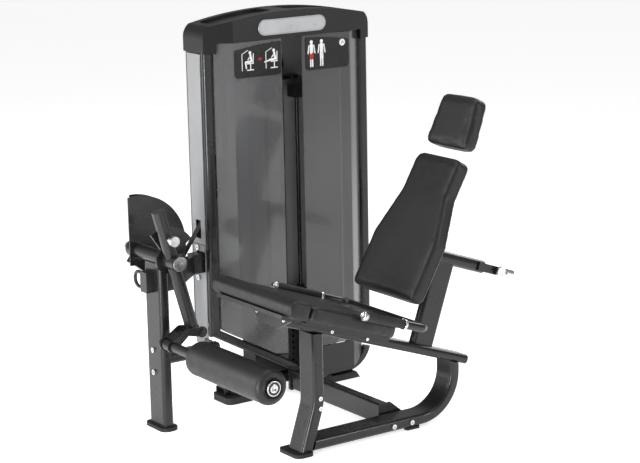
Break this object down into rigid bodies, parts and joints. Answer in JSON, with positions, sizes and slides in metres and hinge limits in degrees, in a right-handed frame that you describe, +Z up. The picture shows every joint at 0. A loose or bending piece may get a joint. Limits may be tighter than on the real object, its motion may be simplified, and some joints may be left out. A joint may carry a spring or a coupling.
{
  "type": "leg extension machine",
  "caption": "Gym leg extension machine: shielded weight tower, cam-driven lever with shin roller, tilted seat with side grips, and a backrest sliding on a tube.",
  "frame": {"origin": "centre of the bounding box, on the floor", "axes": "+Z up, the seated user faces -Y, and the weight tower is on the -X side"},
  "size_m": [1.1435, 1.4111, 1.61],
  "materials": {
    "frame_black": "satin powder coat",
    "machined_black": "semi-gloss",
    "sheet_grey": "satin",
    "cap_plastic": "satin moulding",
    "smoked_shield": "smoked, translucent",
    "printed_plate": "gloss with printed pictograms",
    "bright_steel": "brushed and plated",
    "cast_plates": "painted, satin",
    "black_rubber": "matt",
    "belting": "matt, woven",
    "red_knob": "gloss",
    "upholstery": "fine grain, satin"
  },
  "bodies": {
    "frame": {"tower_posts": "frame_black", "tower_lower_rails": "frame_black", "tower_base_beam": "frame_black", "tower_foot_left": "black_rubber", "tower_foot_right": "black_rubber", "tower_cap": "cap_plastic", "cap_badge": "bright_steel", "placards": "printed_plate", "shield_left": "smoked_shield", "shield_right": "smoked_shield", "kick_panel": "sheet_grey", "side_panel_upper": "sheet_grey", "side_panel_lower": "sheet_grey", "back_panel": "sheet_grey", "guide_rods": "bright_steel", "rod_clamps": "frame_black", "stack_bumpers": "black_rubber", "weight_plates_resting": "cast_plates", "belt_run": "belting", "pulley_brackets": "frame_black", "lever_post": "frame_black", "upper_beam": "frame_black", "lower_beam": "frame_black", "bearing_housing": "frame_black", "release_block": "frame_black", "base_loop": "frame_black", "front_leg": "frame_black", "floor_pads": "black_rubber", "cross_beam": "frame_black", "seat_rail": "frame_black", "front_pad": "upholstery", "seat_pad": "upholstery", "handlebar": "frame_black", "handle_grips": "black_rubber", "backrest_post": "frame_black", "frame_bolts": "bright_steel"},
    "cam_shaft": {"pivot_shaft": "bright_steel", "cam": "machined_black", "cam_belt": "belting", "index_plate": "machined_black"},
    "lever": {"lever_hub": "machined_black", "lever_arm": "frame_black"},
    "start_pin": {"start_pin": "bright_steel"},
    "roller_holder": {"roller_bracket": "machined_black", "roller_axle": "frame_black"},
    "roller": {"shin_roller": "upholstery"},
    "stack": {"weight_plates_lifted": "cast_plates", "head_plate": "cast_plates", "selector_stem": "bright_steel", "stack_belt": "belting"},
    "selector": {"selector_pin": "red_knob"},
    "pulley_low": {"pulley_low": "machined_black"},
    "pulley_top_left": {"pulley_top_left": "machined_black"},
    "pulley_top_right": {"pulley_top_right": "machined_black"},
    "release_grip": {"release_handle": "machined_black"},
    "backrest": {"adjuster_tube": "bright_steel", "back_plate": "frame_black", "backrest_pad": "upholstery", "headrest_pad": "upholstery"},
    "adjuster_latch": {"adjuster_pin": "bright_steel"}
  },
  "joints": [
    {"name": "lever_pivot", "type": "hinge", "parent": "frame", "child": "cam_shaft", "pos_m": [-0.4238, -0.6095, 0.702], "axis": [-1, 0, 0], "range_deg": [0, 100]},
    {"name": "start_adjust", "type": "hinge", "parent": "cam_shaft", "child": "lever", "pos_m": [-0.2158, -0.6095, 0.702], "axis": [-1, 0, 0], "range_deg": [0, 48]},
    {"name": "start_pin_pull", "type": "slide", "parent": "lever", "child": "start_pin", "axis": [1, 0, 0], "range_m": [0, 0.014], "stiffness_N_per_m": 400, "springref_m": -0.004},
    {"name": "roller_tilt", "type": "hinge", "parent": "lever", "child": "roller_holder", "pos_m": [-0.2158, -0.5045, 0.409], "axis": [-1, 0, 0], "range_deg": [0, 17]},
    {"name": "roller_spin", "type": "hinge", "parent": "roller_holder", "child": "roller", "pos_m": [0.2562, -0.6375, 0.371], "axis": [1, 0, 0], "continuous": true},
    {"name": "stack_lift", "type": "slide", "parent": "frame", "child": "stack", "axis": [0, 0, 1], "range_m": [0, 0.37], "deforming": ["stack_belt"]},
    {"name": "selector_pull", "type": "slide", "parent": "stack", "child": "selector", "axis": [1, 0, 0], "range_m": [0, 0.09]},
    {"name": "low_pulley_turn", "type": "hinge", "parent": "frame", "child": "pulley_low", "pos_m": [-0.4968, -0.2305, 0.955], "axis": [-1, 0, 0], "range_deg": [0, 405]},
    {"name": "left_pulley_turn", "type": "hinge", "parent": "frame", "child": "pulley_top_left", "pos_m": [-0.4968, -0.1257, 1.38], "axis": [1, 0, 0], "range_deg": [0, 405]},
    {"name": "right_pulley_turn", "type": "hinge", "parent": "frame", "child": "pulley_top_right", "pos_m": [-0.4968, 0.0501, 1.38], "axis": [1, 0, 0], "range_deg": [0, 405]},
    {"name": "release_pull", "type": "slide", "parent": "frame", "child": "release_grip", "axis": [-1, 0, 0], "range_m": [0, 0.008], "stiffness_N_per_m": 600, "springref_m": -0.003},
    {"name": "backrest_slide", "type": "slide", "parent": "frame", "child": "backrest", "axis": [0, -0.9432, 0.3322], "range_m": [-0.081, 0.054]},
    {"name": "adjuster_pull", "type": "slide", "parent": "frame", "child": "adjuster_latch", "axis": [1, 0, 0], "range_m": [0, 0.012], "stiffness_N_per_m": 400, "springref_m": -0.004}
  ],
  "couplings": [
    {"joint": "stack_lift", "follows": "lever_pivot", "m_per_rad": 0.21},
    {"joint": "low_pulley_turn", "follows": "lever_pivot", "ratio": 4.0076},
    {"joint": "left_pulley_turn", "follows": "lever_pivot", "ratio": 4.0076},
    {"joint": "right_pulley_turn", "follows": "lever_pivot", "ratio": 4.0076}
  ]
}
